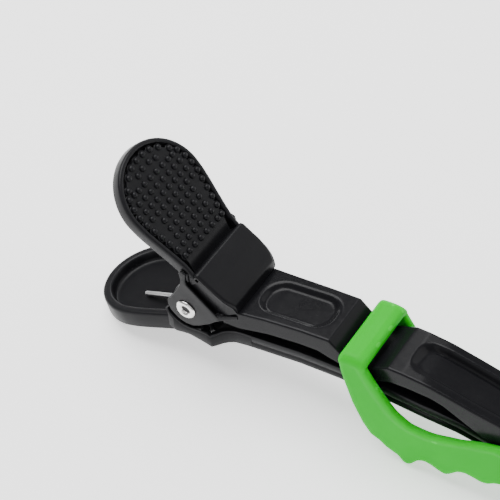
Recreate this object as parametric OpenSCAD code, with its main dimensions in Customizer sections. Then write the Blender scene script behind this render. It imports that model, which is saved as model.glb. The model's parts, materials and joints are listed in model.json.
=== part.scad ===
// Salon sectioning clip: a sprung two-jaw clip with thumb paddles, a hollow
// rivet, a torsion spring and a toothed silicone band looped over the jaws.
// The shapes are laid out from the rivet's axis (x to the jaw tip, z up, both
// in the clip's own tilted plane) and then stood on the ground by rest().

/* [Overall] */
// nose-up tilt of the clip as it rests on paddle and band, degrees
tilt = 4.86; // [0:0.1:12]
// jaw tip, distance in front of the rivet
tip_x = 88; // [80:1:95]

/* [Paddles] */
// angle of the upper paddle above the rear axis, degrees
upper_angle = 48; // [35:1:55]
// angle of the lower paddle below the rear axis, degrees
lower_angle = 14; // [8:1:25]
// radius of the round end of each paddle
pad_r = 10.8; // [8:0.1:13]
// distance of that round end's centre behind the rivet
pad_s = 21.4; // [18:0.1:26]
// height of the upper paddle's rim over the rivet, square to the paddle
upper_rim = 8.25; // [6:0.05:10]
// depth of the paddle's outer wall
pad_wall_h = 2.8; // [2:0.1:4]
// wall thickness of the paddles
pad_wall = 1.5; // [1:0.1:2.5]
// radius of one grip bump
bump_r = 0.62; // [0.4:0.02:0.9]
// spacing of the grip bumps
bump_pitch = 1.96; // [1.6:0.02:3]

/* [Pivot] */
// radius of the rivet's tube
rivet_r = 1.55; // [1.2:0.05:2]
// radius of the rivet's through hole
rivet_bore_r = 0.9; // [0.5:0.05:1.2]
// radius of the rivet's rolled heads
head_r = 2.25; // [1.8:0.05:3]
// radial clearance of the ears on the rivet
ear_clear = 0.05; // [0.02:0.01:0.1]
// half width over the upper lever's ears
ear_y = 9.3; // [8:0.1:11]
// thickness of every ear
ear_t = 1.5; // [1:0.1:2]

/* [Jaws] */
// thickness of the jaw shells
shell = 1.4; // [1:0.1:2]
// pitch of the gripping teeth inside the jaws
tooth_pitch = 3; // [2:0.5:5]

/* [Spring] */
// wire diameter
wire_d = 1.1; // [0.8:0.1:1.4]
// mean radius of the coil
coil_r = 2.75; // [2.3:0.05:3.4]
// number of turns
coil_turns = 6; // [4:1:7]

/* [Band] */
// half width over the silicone band at its rear bar
band_y = 8.8; // [8:0.1:10]
// thickness of the side ribbons
band_t = 1.7; // [1:0.1:2.5]

/* [Hidden] */
black = [0.05, 0.05, 0.055];
gloss = [0.07, 0.07, 0.08];
green = [0.30, 0.82, 0.33];
steel = [0.78, 0.78, 0.80];
$fn = 64;

// where the rivet's axis stands in the resting clip
rest_x = -31.605;
rest_z = 16.148;

// stands the clip on the ground
module rest() translate([rest_x, 0, rest_z]) rotate([0, -tilt, 0]) children();

// extrudes a drawing of x and z across the clip, from y0 to y1
module side(y0, y1) translate([0, y1, 0]) rotate([90, 0, 0]) linear_extrude(height = y1 - y0) children();

// the same slab on both sides of the clip
module both(y0, y1) { side(y0, y1) children(); side(-y1, -y0) children(); }

// extrudes a drawing of x and y upwards through the whole clip
module plan() translate([0, 0, -40]) linear_extrude(height = 90) children();

// a band of half width w[i][1] at x = w[i][0], mirrored about the clip's middle
module spread(w) polygon(concat(
    [for (p = w) [p[0], p[1]]],
    [for (i = [len(w) - 1:-1:0]) [w[i][0], -w[i][1]]]));

function drop(w, d) = [for (p = w) [p[0], p[1] - d]];

// paddle outline in its own plane, the rivet at x = 0 and the paddle towards -x
pad_side = [[-pad_s, 10.8], [-19, 10.62], [-17, 10.3], [-14, 9.7], [-11, 9.1], [-8, 8.6]];

module pad_outline(inset, front) {
    translate([-pad_s, 0]) circle(r = pad_r - inset, $fn = 96);
    spread(concat(drop(pad_side, inset), [[front, 8.6 - inset]]));
}

// grip bumps: six columns, a row that follows the outline, and a short second row inside the round end
bump_rows = [[6.6, 0], [7.05, 0], [7.55, 0], [8.0, 0], [8.45, 0], [8.9, 7.0], [9.0, 7.0], [8.8, 7.0], [8.2, 6.55]];
bump_end = [[26.7, 7.0], [28.45, 5.05], [29.4, 3.1], [29.75, 1.03], [27.4, 3.0], [27.8, 1.1]];

module bump(x, y, z) for (g = [-1, 1]) translate([x, g * y, z]) sphere(r = bump_r, $fn = 16);

module bumps(z, first, end) {
    for (i = [0:8]) {
        for (y = [1.03, 3.1, 5.05]) bump(-first - i * bump_pitch, y, z);
        bump(-first - i * bump_pitch, bump_rows[i][0], z);
        if (bump_rows[i][1] > 0) bump(-first - i * bump_pitch, bump_rows[i][1], z);
    }
    if (end) for (p = bump_end) bump(-p[0], p[1], z);
}

/* ---------- upper lever: paddle, hood and outer ears, one moulding ---------- */

module upper_paddle() rotate([0, upper_angle, 0]) {
    difference() {
        translate([0, 0, upper_rim - pad_wall_h]) linear_extrude(height = pad_wall_h) pad_outline(0, -5.2);
        // hollow underside
        translate([0, 0, upper_rim - pad_wall_h - 1]) linear_extrude(height = 2.1)
            pad_outline(pad_wall, -3);
        // sunk grip floor behind the rim
        intersection() {
            translate([0, 0, upper_rim - 0.45]) linear_extrude(height = 2) pad_outline(1.0, -3);
            translate([-40, -20, 0]) cube([31.6, 40, 20]);
        }
        // ramp down to the hood's rear step
        translate([0, -12, upper_rim - 0.45]) rotate([-90, 0, 0]) linear_extrude(height = 24)
            polygon([[-8.6, 0], [-5.4, 0.85], [-4, 0.85], [-4, -2], [-8.6, -2]]);
    }
    bumps(upper_rim - 0.5, 9.7, true);
}

hood_plan = [[-1.5, 8.6], [3, 8.6], [7, 8.6], [8.7, 8.45], [9.7, 8.15], [10.5, 7.75], [11.25, 7.25]];
hood_line = [[2.4, 10.4], [3.2, 10.4], [6.9, 7.9], [8.7, 6.45], [10.1, 5.2], [10.7, 4.5], [11.0, 3.7], [11.2, 2.55]];

module hood() intersection() {
    side(-10, 10) polygon(concat(hood_line, [[9.7, 2.2], [8.9, 3.7], [5.7, 6.3], [2.9, 8.1], [1.2, 6.9], [0.3, 7.6], [2.0, 9.2]]));
    plan() spread(hood_plan);
}

ear_plan = [[-14, 9.3], [7.3, 9.3], [10.9, 7.25]];

// outer ear: round about the rivet, rising behind to the paddle, with a low strip in front
module ear_shape(top) {
    circle(r = 4.6, $fn = 96);
    polygon(concat([[-4.5, 0.9], [-3.2, 3.6], [-2.0, 6.5], [-1.2, 9.2]], top,
        [[10.9, 1.3], [10.9, 0.5], [7.6, 0.1], [5.2, -1.9], [3.0, -3.5]]));
}
ear_ridge = [[0.2, 10.2], [1.0, 10.1], [0.75, 7.9], [1.45, 6.95], [3.9, 4.7], [7.1, 1.8], [7.7, 1.4]];
ear_groove = [[-0.5, 9.3], [-0.35, 7.2], [0.4, 6.1], [2.9, 3.85], [6.4, 0.9], [7.7, 0.95]];

module upper_lever() rest() color(black) difference() {
    union() {
        upper_paddle();
        hood();
        intersection() {
            union() {
                both(8.85, ear_y) ear_shape(ear_ridge);
                both(ear_y - ear_t, 8.95) ear_shape(ear_groove);
            }
            plan() spread(ear_plan);
        }
        // the hood's side walls, which stand in the ears' grooves
        intersection() {
            both(7.56, 8.15) polygon([[3.0, 9.6], [6.4, 7.0], [9.0, 5.0], [10.2, 4.0], [10.7, 3.2], [11.0, 2.4], [10.6, 0.7], [7.6, 0.3],
                [5.2, 1.4], [2.0, 4.4], [-0.2, 6.2], [-0.3, 7.6], [1.6, 9.2]]);
            plan() spread([[-2, 8.15], [7.6, 8.15], [9.4, 7.9], [11.2, 7.25]]);
        }
        // web from the paddle wall into the ears
        both(7.0, 8.9) polygon([[-2.5, 11.0], [-1.3, 9.3], [-0.95, 6.9], [1.4, 6.9], [2.2, 8.6], [0.3, 10.9], [-1.2, 12.2]]);
    }
    side(-12, 12) circle(r = rivet_r + ear_clear, $fn = 64);
}

/* ---------- upper jaw: shell with a cross valley, under the hood ---------- */

jaw_top = [[7.2, 1.9], [11.5, 2.4], [17, 3.2], [25, 4.15], [31.4, 4.5], [35.4, 0.75], [36.4, 0.45], [38.4, 0.5],
           [44.2, 3.3], [47, 3.3], [52, 2.85], [57, 1.75], [62, 0.6], [68, -0.75], [74, -2.4], [80, -4.9], [84, -7.1],
           [86.6, -9.0], [tip_x, -10.9]];
jaw_low = [[tip_x - 0.3, -12.0], [86.4, -12.2], [83, -11.2], [76, -9.6], [66.6, -7.1], [61.8, -4.35], [56, -1.2], [53.3, -0.45],
           [48.6, -0.25], [44.7, -0.4], [41, -2.0], [37, -2.5], [32.9, -0.7], [31.5, -0.5], [28.9, 0.4],
           [24.8, 0.2], [17.9, -0.6], [10.7, -2.2], [7.2, -2.2]];
// underside of the top skin, one shell below it
jaw_skin = [[7.2, 0.5], [11.5, 1.0], [17, 1.8], [25, 2.75], [30.8, 3.1], [34.8, -0.65], [36.2, -0.95], [38.7, -0.9],
            [44.5, 1.9], [47, 1.9], [51.8, 1.45], [56.6, 0.35], [61.6, -0.8], [67.6, -2.15], [73.5, -3.8], [79.2, -6.2],
            [83, -8.3], [85.4, -10.0], [86.2, -11.2], [86.2, -20], [7.2, -20]];
jaw_plan = [[7.2, 7.2], [11.5, 7.1], [17, 6.75], [25, 6.5], [31.4, 6.4], [44, 6.1], [52, 6.0], [62, 5.9],
            [72, 5.5], [80, 4.9], [85, 3.9], [87.4, 2.4], [tip_x, 1.0]];

module upper_jaw() rest() color(gloss) difference() {
    union() {
        difference() {
            intersection() {
                side(-8, 8) polygon(concat(jaw_top, jaw_low));
                plan() spread(jaw_plan);
            }
            intersection() {
                side(-8, 8) polygon(jaw_skin);
                plan() spread(concat([[6, 5.8]], drop([for (p = jaw_plan) if (p[0] < 86) p], shell), [[86.2, 2.0]]));
            }
            // oval hollow in the rear section
            translate([0, 0, 1.95]) rotate([0, -3.2, 0]) linear_extrude(height = 4) union() {
                for (x = [17.6, 25.4]) translate([x, 0]) circle(r = 3.9, $fn = 64);
                translate([17.6, -3.9]) square([7.8, 7.8]);
            }
            // long hollow along the front section
            side(-3.9, 3.9) polygon([[47.2, 3.6], [49.2, 2.2], [52, 2.05], [57, 0.95], [62, -0.2], [68, -1.55], [74, -3.2], [79, -5.2],
                [81, -4.9], [74, -1.2], [62, 2], [52, 4.4]]);
        }
        // cheeks that carry the jaw on the rivet
        both(4.35, 5.8) union() {
            circle(r = 4.0, $fn = 64);
            polygon([[-1.0, 3.8], [5, 2.3], [8.4, 1.9], [8.4, -2.1], [4, -2.6], [1.0, -3.8]]);
        }
        both(4.35, 7.0) polygon([[7.2, 1.85], [9.0, 2.0], [9.0, -2.15], [7.2, -2.15]]);
        // gripping teeth under the front section
        intersection() {
            plan() spread([[66, 4.4], [72, 4.0], [80, 3.4], [85, 2.4]]);
            for (x = [67.5:tooth_pitch:82])
                side(-4.6, 4.6) polygon([[x - 1.4, -1.2 - (x - 67.5) * 0.35], [x + 1.4, -2.1 - (x - 67.5) * 0.35],
                    [x + 1.2, -3.3 - (x - 67.5) * 0.35], [x + 0.1, -5.4 - (x - 67.5) * 0.32], [x - 1.2, -2.6 - (x - 67.5) * 0.35]]);
        }
    }
    side(-9, 9) circle(r = rivet_r + 0.03, $fn = 64);
}

/* ---------- lower jaw: cheeks, paddle and arched strip, one moulding ---------- */

low_top = [[8.5, -5.2], [12.7, -4.4], [24.4, -3.1], [33, -2.9], [43, -3.5], [53, -5.0], [60, -6.8], [66, -8.6], [74, -10.6], [84.6, -12.5]];
low_bot = [[84.6, -13.3], [80, -13.6], [74, -13.2], [68, -12.1], [62, -10.7], [52.6, -8.7], [43, -7.0], [34, -6.1], [24.2, -6.5], [12.4, -7.9], [8.5, -8.5]];
low_plan = [[8.0, 6.4], [12, 6.2], [34, 6.0], [44, 5.7], [52, 5.1], [58, 4.35], [66, 4.1], [72, 3.8], [80, 3.2], [84.6, 2.2]];
low_rim = -3.4;      // lower paddle's rim, square to the paddle
low_wall = 4.1;      // height of its wall
low_s = 17.2;        // its round end's centre behind the rivet
low_shift = 4.2;     // how much nearer the rivet it is than the upper one

module lower_paddle() rotate([0, -lower_angle, 0]) translate([low_shift, 0, 0]) {
    difference() {
        translate([0, 0, low_rim - low_wall]) linear_extrude(height = low_wall) pad_outline(0, -7.4);
        // cavity that faces the upper paddle
        translate([0, 0, low_rim - 2.3]) linear_extrude(height = 4) pad_outline(2.0, -6);
        // socket for the spring's leg
        translate([-15.4, -6.6, low_rim - 3.0]) cube([2.6, 2.2, 3]);
    }
    translate([0, 0, 0]) bumps(low_rim - low_wall + 0.15, 9.7, false);
}

module lower_jaw() rest() color(black) difference() {
    union() {
        lower_paddle();
        // wide cheeks round the rivet, open in the middle for the spring
        difference() {
            intersection() {
                side(-9.3, 9.3) polygon([[-4.9, -3.6], [-4.6, -7.7], [-3.4, -8.5], [-0.2, -8.1], [2.2, -8.5], [4.6, -8.95], [5.6, -9.0], [7.0, -8.75], [8.2, -8.4], [10.2, -7.95],
                    [10.2, -4.6], [7.7, -4.85], [6.0, -5.25], [5.1, -5.6], [4.0, -5.2], [3.6, -1.2], [-4.9, -1.2]]);
                plan() spread([[-5, 9.3], [5.3, 9.3], [6.0, 8.5], [6.9, 7.55], [7.8, 6.95], [8.8, 6.6], [10.2, 6.35]]);
            }
            side(-6.05, 6.05) polygon([[-6, 1], [-6, -5.6], [-3, -7.3], [4.5, -7.3], [8.4, -6.3], [10.5, -5.6], [12, 1]]);
            // round recess for the upper lever's ear
            both(ear_y - ear_t - 0.2, 12) circle(r = 5.5, $fn = 96);
            both(6.0, 12) polygon([[0, 6], [0, -1], [5.0, -3.1], [9.6, -4.2], [12, -3], [12, 6]]);
        }
        // inner ears on the rivet
        both(6.05, 7.5) union() {
            circle(r = 4.5, $fn = 96);
            polygon([[-4.5, 0], [-4.85, -3], [-4.6, -7.6], [4.0, -7.6], [4.2, -3.0], [4.5, 0]]);
        }
        // arched strip of the jaw, a channel open at the bottom
        difference() {
            intersection() {
                side(-7, 7) polygon(concat(low_top, low_bot));
                plan() spread(low_plan);
            }
            side(-3.6, 3.6) polygon([[10.5, -9.5], [12.6, -6.3], [24.3, -4.9], [33.5, -4.6], [43, -5.2], [53, -6.8], [60, -8.5], [64, -9.6],
                [66, -13], [52.6, -10], [34, -7]]);
        }
        // teeth that mesh below the upper jaw
        intersection() {
            plan() spread([[64, 3.9], [72, 3.6], [80, 3.0], [84, 2.0]]);
            for (x = [66:tooth_pitch:81])
                side(-4, 4) polygon([[x - 1.4, -8.9 - (x - 66) * 0.27], [x + 1.4, -9.4 - (x - 66) * 0.25],
                    [x, -7.3 - (x - 66) * 0.27]]);
        }
    }
    side(-9, 9) circle(r = rivet_r + ear_clear, $fn = 64);
}

/* ---------- rivet: tube with a rolled head at each side ---------- */

rivet_head = [[rivet_r, 0], [head_r, 0], [head_r, 0.2], [1.95, 0.5], [1.6, 0.62], [1.25, 0.55], [rivet_bore_r, 0.15]];

module pivot_rivet() rest() color(steel) rotate([90, 0, 0]) rotate_extrude($fn = 64)
    polygon(concat(
        [for (p = rivet_head) [p[0], ear_y + 0.02 + p[1]]],
        [for (i = [len(rivet_head) - 1:-1:0]) [rivet_head[i][0], -ear_y - 0.02 - rivet_head[i][1]]]));

/* ---------- torsion spring: coil round the rivet and two legs ---------- */

// a round wire from point a to point b
module wire(a, b) {
    v = b - a;
    l = norm(v);
    translate(a) rotate([0, acos(v[2] / l), atan2(v[1], v[0])]) cylinder(r = wire_d / 2, h = l, $fn = 24);
}

low_leg = [-15.0, -3.2, -8.9];   // free end of the leg over the lower paddle
up_leg = [-4.2, 3.2, 13.55];      // free end of the leg under the upper paddle

module torsion_spring() rest() color(steel) union() {
    for (i = [0:coil_turns - 1])
        translate([0, -3.2 + i * 6.4 / (coil_turns - 1), 0]) rotate([90, 0, 0]) rotate_extrude($fn = 48)
            translate([coil_r, 0]) circle(r = wire_d / 2 + 0.12, $fn = 20);
    wire([1.02, -3.2, -2.55], low_leg);
    wire([2.42, 3.2, 1.31], up_leg);
}

/* ---------- silicone band: rear bar, two toothed ribbons and a front loop ---------- */

band_outer = [[34.6, 4.2], [34.7, 2.6], [35.6, -2.5], [37.4, -8.1], [39.5, -13.1], [41.2, -15.7], [43.2, -16.5], [44.6, -17.6], [46.0, -18.2],
    [47.4, -18.7], [48.4, -20.0], [49.4, -20.4], [50.4, -19.6], [51.6, -17.9], [53, -17.2], [54.4, -17.6], [56.2, -18.6], [57.6, -19.1], [58.8, -18.0],
    [60, -16.6], [61.6, -16.2], [63.2, -16.6], [65.0, -17.3], [66.4, -16.9], [67.6, -15.9], [69.6, -15.3], [72, -15.6], [74, -15.9], [76, -15.2],
    [79, -14.9], [84.2, -14.8]];
band_inner = [[85.2, -14.2], [85.2, -13.5], [82, -9.6], [78.5, -7.4], [74, -5.9], [68.4, -5.0], [64.5, -6.0], [60.6, -7.4], [54.5, -8.8], [50.2, -8.4], [47, -6.4],
    [44.4, -3.1], [42.2, 0.2], [40.6, 2.9], [40.3, 4.4], [39.4, 5.0], [35.6, 5.0]];

module silicone_band() rest() color(green) union() {
    difference() {
        intersection() {
            side(-10, 10) polygon(concat(band_outer, band_inner));
            plan() spread([[34, band_y], [50, band_y], [68, 7.7], [80, 7.2], [86, 7.0]]);
        }
        // space between the ribbons, over the jaws
        intersection() {
            side(-10, 10) polygon([[30, 2.9], [34.9, 2.9], [40.4, 2.9], [41.5, 6], [90, 6], [90, -13.75], [80.4, -13.75], [78.6, -22], [30, -22]]);
            plan() spread(drop([[30, band_y], [50, band_y], [68, 7.7], [80, 7.2], [90, 6.8]], band_t));
        }
    }
}

upper_lever();
upper_jaw();
lower_jaw();
pivot_rivet();
torsion_spring();
silicone_band();
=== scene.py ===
import json
import math
import bpy
import bmesh
import numpy as np
from mathutils import Matrix, Vector


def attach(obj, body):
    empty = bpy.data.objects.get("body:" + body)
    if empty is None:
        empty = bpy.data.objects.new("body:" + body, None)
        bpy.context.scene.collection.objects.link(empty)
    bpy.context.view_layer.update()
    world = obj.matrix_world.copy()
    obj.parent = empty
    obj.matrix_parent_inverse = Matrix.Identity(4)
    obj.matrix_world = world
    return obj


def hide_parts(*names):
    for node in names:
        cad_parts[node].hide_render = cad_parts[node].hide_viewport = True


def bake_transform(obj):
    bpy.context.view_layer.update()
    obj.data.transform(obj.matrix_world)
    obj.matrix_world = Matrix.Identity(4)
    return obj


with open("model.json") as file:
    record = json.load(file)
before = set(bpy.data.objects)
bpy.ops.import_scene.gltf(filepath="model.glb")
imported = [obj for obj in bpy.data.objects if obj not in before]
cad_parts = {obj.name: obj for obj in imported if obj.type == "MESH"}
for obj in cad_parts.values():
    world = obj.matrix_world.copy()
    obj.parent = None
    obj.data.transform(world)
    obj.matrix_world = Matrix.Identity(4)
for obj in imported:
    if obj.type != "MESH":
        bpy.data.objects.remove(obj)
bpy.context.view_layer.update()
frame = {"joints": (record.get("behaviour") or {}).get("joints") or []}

# ---------------------------------------------------------------- the clip's own drawing frame
# x to the jaw tip, y across, z up, origin on the rivet's axis, in millimetres.
JOINT = [j for j in frame["joints"] if j["name"] == "main_pivot"][0]
PIVOT = np.array(JOINT["pos_m"], float)
TILT = math.radians(4.86)
RT = np.array([[math.cos(TILT), 0, -math.sin(TILT)], [0, 1, 0], [math.sin(TILT), 0, math.cos(TILT)]])


def to_row(p):
    return np.asarray(p, float).reshape(-1, 3) * 0.001 @ RT.T + PIVOT


def row_vec(v):
    return Vector(RT @ np.asarray(v, float))


# ---------------------------------------------------------------- mesh helpers
def interp(xs, pts):
    pts = np.array(pts, float)
    return np.interp(xs, pts[:, 0], pts[:, 1])


def fillet(points, r, closed=False, n=5):
    """Rounds the corners of a polyline; r is one radius or one per point."""
    P = [np.array(p, float) for p in points]
    m = len(P)
    rs = r if hasattr(r, "__len__") else [r] * m
    out = []
    for i in range(m):
        if not closed and i in (0, m - 1):
            out.append(P[i])
            continue
        a, b, c = P[i - 1], P[i], P[(i + 1) % m]
        u, v = a - b, c - b
        lu, lv = np.linalg.norm(u), np.linalg.norm(v)
        u, v = u / lu, v / lv
        cosang = float(np.clip(u @ v, -1, 1))
        ang = math.acos(cosang)
        if rs[i] <= 0 or ang > math.pi - 0.02:
            out.append(b)
            continue
        t = min(rs[i] / math.tan(ang / 2), 0.48 * lu, 0.48 * lv)
        s, e = b + u * t, b + v * t
        for k in range(n + 1):
            q = k / n
            out.append((1 - q) ** 2 * s + 2 * q * (1 - q) * b + q * q * e)
    return np.array(out)


def resample(points, step=None, count=None, closed=False):
    P = np.array(points, float)
    if closed:
        P = np.vstack([P, P[:1]])
    d = np.r_[0, np.cumsum(np.linalg.norm(np.diff(P, axis=0), axis=1))]
    if count is None:
        count = max(8, int(round(d[-1] / step)))
    t = np.linspace(0, d[-1], count + 1)
    Q = np.stack([np.interp(t, d, P[:, k]) for k in range(P.shape[1])], 1)
    return Q[:-1] if closed else Q


class Builder:
    """Collects closed shells in the drawing frame."""

    def __init__(self):
        self.v, self.f, self.n = [], [], 0

    def add(self, verts, faces):
        verts = np.asarray(verts, float).reshape(-1, 3)
        self.v.append(verts)
        self.f += [tuple(int(i) + self.n for i in f) for f in faces]
        self.n += len(verts)

    def loft(self, rings, cap=True, closed_u=False, closed_v=True):
        rings = [np.asarray(r, float) for r in rings]
        n = len(rings[0])
        m = len(rings)
        V = np.vstack(rings)
        F = []
        for i in range(m if closed_u else m - 1):
            a, b = i * n, ((i + 1) % m) * n
            for j in range(n if closed_v else n - 1):
                k = (j + 1) % n
                F.append((a + j, a + k, b + k, b + j))
        if cap and not closed_u:
            F.append(tuple(range(n - 1, -1, -1)))
            F.append(tuple(range((m - 1) * n, m * n)))
        self.add(V, F)

    def mesh(self, name, row=True):
        V = np.vstack(self.v)
        if row:
            V = to_row(V)
        me = bpy.data.meshes.new(name)
        me.from_pydata([tuple(v) for v in V], [], self.f)
        bm = bmesh.new()
        bm.from_mesh(me)
        bmesh.ops.remove_doubles(bm, verts=bm.verts, dist=1e-7)
        bmesh.ops.recalc_face_normals(bm, faces=bm.faces)
        bm.to_mesh(me)
        bm.free()
        me.update()
        ob = bpy.data.objects.new(name, me)
        bpy.context.scene.collection.objects.link(ob)
        return ob


def plate(outline, y0, y1, deform=None, edge=0.28, seg=3):
    """A flat plate with rounded edges: outline in x, z, from y0 to y1. Returns rings for loft-like faces."""
    O = np.asarray(outline, float)
    # inward offset by normals
    nxt, prv = np.roll(O, -1, 0), np.roll(O, 1, 0)
    t = nxt - prv
    t /= np.linalg.norm(t, axis=1)[:, None] + 1e-12
    area = 0.5 * np.sum(O[:, 0] * nxt[:, 1] - nxt[:, 0] * O[:, 1])
    nrm = np.stack([-t[:, 1], t[:, 0]], 1) * (1 if area > 0 else -1)
    rings = []
    levels = []
    for k in range(seg + 1):
        a = math.pi / 2 * k / seg
        levels.append((edge * (1 - math.sin(a)), y0 + edge * (1 - math.cos(a))))
    up = [(i, y1 - (y - y0)) for i, y in levels[::-1]]
    for ins, y in levels + up:
        Q = O + nrm * ins
        R = np.stack([Q[:, 0], np.full(len(Q), y), Q[:, 1]], 1)
        if deform is not None:
            R = deform(R)
        rings.append(R)
    return rings


def finish_shape(ob, bevel=None, voxel=None, smooth=0, factor=0.5, angle=None):
    bpy.context.view_layer.objects.active = ob
    for o in bpy.context.selected_objects:
        o.select_set(False)
    ob.select_set(True)
    if voxel:
        m = ob.modifiers.new("vox", "REMESH")
        m.mode = "VOXEL"
        m.voxel_size = voxel * 0.001
        m.adaptivity = 0.0
        bpy.ops.object.modifier_apply(modifier=m.name)
    if smooth:
        m = ob.modifiers.new("sm", "SMOOTH")
        m.factor = factor
        m.iterations = smooth
        bpy.ops.object.modifier_apply(modifier=m.name)
    for p in ob.data.polygons:
        p.use_smooth = True
    if angle:
        bm = bmesh.new()
        bm.from_mesh(ob.data)
        lim = math.radians(angle)
        for e in bm.edges:
            e.smooth = not (len(e.link_faces) == 2 and e.calc_face_angle(0) > lim)
        bm.to_mesh(ob.data)
        bm.free()
    ob.data.update()


# ---------------------------------------------------------------- materials
def new_mat(name):
    m = bpy.data.materials.new(name)
    m.use_nodes = True
    nt = m.node_tree
    b = nt.nodes["Principled BSDF"]
    return m, nt, b


def N(nt, kind, **kw):
    n = nt.nodes.new(kind)
    for k, v in kw.items():
        setattr(n, k, v)
    return n


def noise(nt, coord, scale, detail=3.0, rough=0.5, stretch=None):
    src = coord
    if stretch:
        mp = N(nt, "ShaderNodeMapping")
        mp.inputs["Scale"].default_value = stretch
        nt.links.new(coord, mp.inputs["Vector"])
        src = mp.outputs["Vector"]
    n = N(nt, "ShaderNodeTexNoise")
    n.inputs["Scale"].default_value = scale
    n.inputs["Detail"].default_value = detail
    n.inputs["Roughness"].default_value = rough
    nt.links.new(src, n.inputs["Vector"])
    return n.outputs["Fac"]


def ramp(nt, fac, stops):
    r = N(nt, "ShaderNodeValToRGB")
    e = r.color_ramp.elements
    while len(e) < len(stops):
        e.new(0.5)
    for i, (p, c) in enumerate(stops):
        e[i].position = p
        e[i].color = c if len(c) == 4 else (*c, 1)
    nt.links.new(fac, r.inputs["Fac"])
    return r.outputs["Color"]


def rng(nt, fac, a, b, lo, hi):
    r = N(nt, "ShaderNodeMapRange")
    r.inputs["From Min"].default_value = a
    r.inputs["From Max"].default_value = b
    r.inputs["To Min"].default_value = lo
    r.inputs["To Max"].default_value = hi
    nt.links.new(fac, r.inputs["Value"])
    return r.outputs["Result"]


def mix_rgb(nt, fac, a, b):
    m = N(nt, "ShaderNodeMix", data_type="RGBA")
    nt.links.new(fac, m.inputs["Factor"])
    for s, v in (("A", a), ("B", b)):
        sock = [i for i in m.inputs if i.name == s and i.type == "RGBA"][0]
        if hasattr(v, "links"):
            nt.links.new(v, sock)
        else:
            sock.default_value = (*v, 1)
    return [o for o in m.outputs if o.type == "RGBA"][0]


def bump(nt, height, strength, dist, base=None):
    b = N(nt, "ShaderNodeBump")
    b.inputs["Strength"].default_value = strength
    b.inputs["Distance"].default_value = dist
    nt.links.new(height, b.inputs["Height"])
    if base is not None:
        nt.links.new(base, b.inputs["Normal"])
    return b.outputs["Normal"]


def plastic(name, base, lift, r0, r1, grain, spec=0.5, coat=0.0):
    m, nt, b = new_mat(name)
    co = N(nt, "ShaderNodeTexCoord").outputs["Object"]
    cloud = noise(nt, co, 120.0, 4.0, 0.55)
    fine = noise(nt, co, 5200.0, 3.0, 0.6)
    mid = noise(nt, co, 900.0, 3.0, 0.5)
    scr = noise(nt, co, 260.0, 2.0, 0.5, stretch=(1.0, 22.0, 22.0))
    edge = rng(nt, N(nt, "ShaderNodeNewGeometry").outputs["Pointiness"], 0.5, 0.62, 0.0, 1.0)
    c = mix_rgb(nt, rng(nt, cloud, 0.3, 0.75, 0.0, 1.0), base, lift)
    c = mix_rgb(nt, rng(nt, edge, 0.0, 1.0, 0.0, 0.35), c, tuple(min(1, x * 3.2 + 0.01) for x in lift))
    nt.links.new(c, b.inputs["Base Color"])
    r = N(nt, "ShaderNodeMath", operation="ADD")
    nt.links.new(rng(nt, mid, 0.3, 0.7, r0, r1), r.inputs[0])
    nt.links.new(rng(nt, scr, 0.55, 0.75, 0.0, 0.06), r.inputs[1])
    nt.links.new(r.outputs[0], b.inputs["Roughness"])
    n1 = bump(nt, fine, grain, 0.00002)
    n2 = bump(nt, cloud, 0.10, 0.0004, n1)
    nt.links.new(n2, b.inputs["Normal"])
    b.inputs["IOR"].default_value = 1.49
    b.inputs["Specular IOR Level"].default_value = spec
    if coat:
        b.inputs["Coat Weight"].default_value = coat
        b.inputs["Coat Roughness"].default_value = 0.12
    return m


MAT_LEVER = plastic("lever_plastic", (0.0046, 0.0046, 0.0056), (0.0068, 0.0068, 0.0080), 0.30, 0.38, 0.22, spec=0.14)
MAT_JAW = plastic("jaw_plastic", (0.0046, 0.0046, 0.0056), (0.0070, 0.0070, 0.0082), 0.18, 0.24, 0.06, spec=0.13)


def silicone():
    m, nt, b = new_mat("band_silicone")
    co = N(nt, "ShaderNodeTexCoord").outputs["Object"]
    cloud = noise(nt, co, 90.0, 3.0, 0.5)
    fine = noise(nt, co, 4200.0, 3.0, 0.6)
    dust = noise(nt, co, 1500.0, 2.0, 0.5)
    c = mix_rgb(nt, rng(nt, cloud, 0.3, 0.7, 0.0, 1.0), (0.004, 0.40, 0.008), (0.006, 0.45, 0.012))
    # painted highlight: the band's sharp edges are mixed towards a brighter green, standing in for light caught along
    # the ribbons' edges
    edge = rng(nt, N(nt, "ShaderNodeNewGeometry").outputs["Pointiness"], 0.5, 0.60, 0.0, 0.5)
    c = mix_rgb(nt, edge, c, (0.05, 0.70, 0.05))
    nt.links.new(c, b.inputs["Base Color"])
    nt.links.new(rng(nt, dust, 0.3, 0.7, 0.36, 0.46), b.inputs["Roughness"])
    nt.links.new(bump(nt, fine, 0.25, 0.00002), b.inputs["Normal"])
    b.inputs["Subsurface Weight"].default_value = 0.25
    b.inputs["Subsurface Radius"].default_value = (0.15, 1.0, 0.12)
    b.inputs["Subsurface Scale"].default_value = 0.0015
    b.inputs["IOR"].default_value = 1.41
    b.inputs["Specular IOR Level"].default_value = 0.10
    return m


MAT_BAND = silicone()


def metal(name, base, dark, r0, r1, stretch, scale):
    m, nt, b = new_mat(name)
    co = N(nt, "ShaderNodeTexCoord").outputs["Object"]
    lines = noise(nt, co, scale, 3.0, 0.6, stretch=stretch)
    spots = noise(nt, co, 700.0, 4.0, 0.6)
    c = mix_rgb(nt, rng(nt, spots, 0.35, 0.7, 0.0, 1.0), base, dark)
    nt.links.new(c, b.inputs["Base Color"])
    nt.links.new(rng(nt, lines, 0.3, 0.7, r0, r1), b.inputs["Roughness"])
    nt.links.new(bump(nt, lines, 0.25, 0.00002), b.inputs["Normal"])
    b.inputs["Metallic"].default_value = 1.0
    return m


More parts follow.
